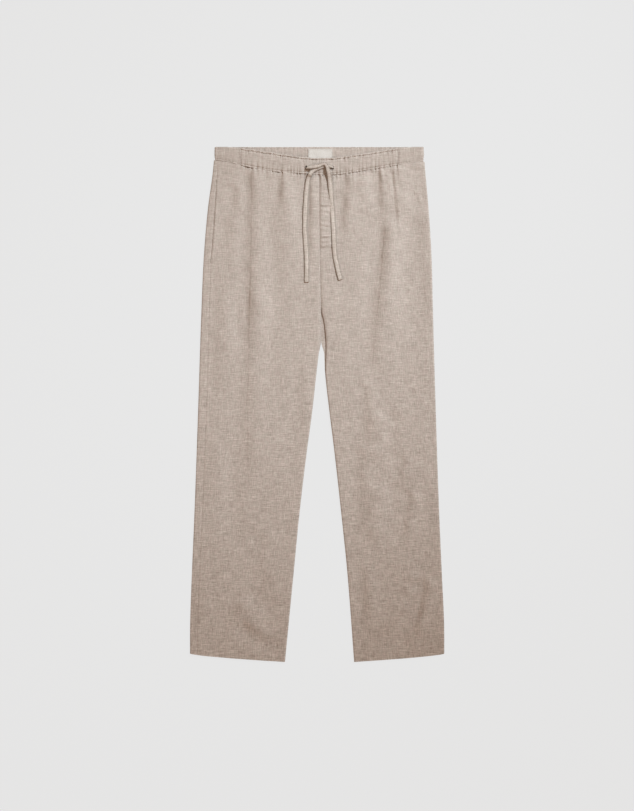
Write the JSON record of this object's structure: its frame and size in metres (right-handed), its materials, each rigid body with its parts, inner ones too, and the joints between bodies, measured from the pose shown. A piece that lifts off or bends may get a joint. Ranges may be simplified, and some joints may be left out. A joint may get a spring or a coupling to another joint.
{
  "type": "linen drawstring trousers",
  "caption": "Straight-leg linen trousers laid flat on their back, with a gathered elastic waistband, a drawstring tied in a half knot and side-seam pockets.",
  "frame": {"origin": "centre of the bounding box in x and y, at the surface the trousers lie on", "axes": "+X across the garment towards the wearer's left leg, +Y up the garment from the hems to the waist, +Z out of the surface through the front"},
  "size_m": [0.5334, 1.081, 0.013],
  "materials": {
    "linen": "greige chambray linen in plain weave with light and dark slubs, matt",
    "label": "ecru woven tape, bare, matt"
  },
  "bodies": {
    "root": {"front_right": "linen", "front_left": "linen", "back_right": "linen", "back_left": "linen", "pocket_facing_right": "linen", "pocket_facing_left": "linen", "waistband_front": "linen", "waistband_side_right": "linen", "waistband_side_left": "linen", "waistband_back": "linen", "drawstring_right": "linen", "drawstring_left": "linen", "label": "label"}
  },
  "joints": []
}
